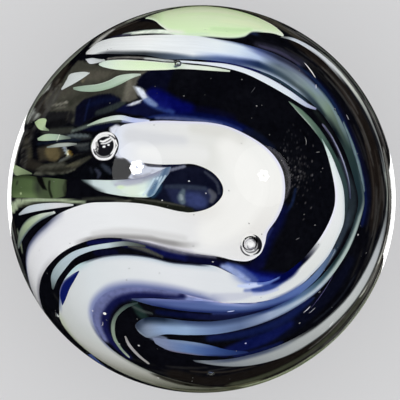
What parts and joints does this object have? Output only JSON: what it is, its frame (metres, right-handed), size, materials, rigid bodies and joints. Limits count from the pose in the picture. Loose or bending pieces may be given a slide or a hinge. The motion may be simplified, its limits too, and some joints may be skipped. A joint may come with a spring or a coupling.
{
  "type": "glass marble",
  "caption": "Round glass playing marble: folded ribbons of white, mint green and blue opal glass round a dark heart, sealed in clear glass with a few air bubbles.",
  "frame": {"origin": "centre of the ball", "axes": "+Z out of the middle of the face with the white hook, +X to the right of that face, +Y towards the mint green crown"},
  "size_m": [0.016, 0.016, 0.016],
  "materials": {
    "clear_glass": "fire polished, clear",
    "dark_glass": "black glass with cobalt edges",
    "white_glass": "opaque white opal",
    "mint_glass": "opaque mint green opal",
    "blue_glass": "opal blue, streaked white and teal"
  },
  "bodies": {
    "root": {"clear_glass": "clear_glass", "dark_heart": "dark_glass", "white_glass": "white_glass", "mint_glass": "mint_glass", "blue_glass": "blue_glass"}
  },
  "joints": []
}
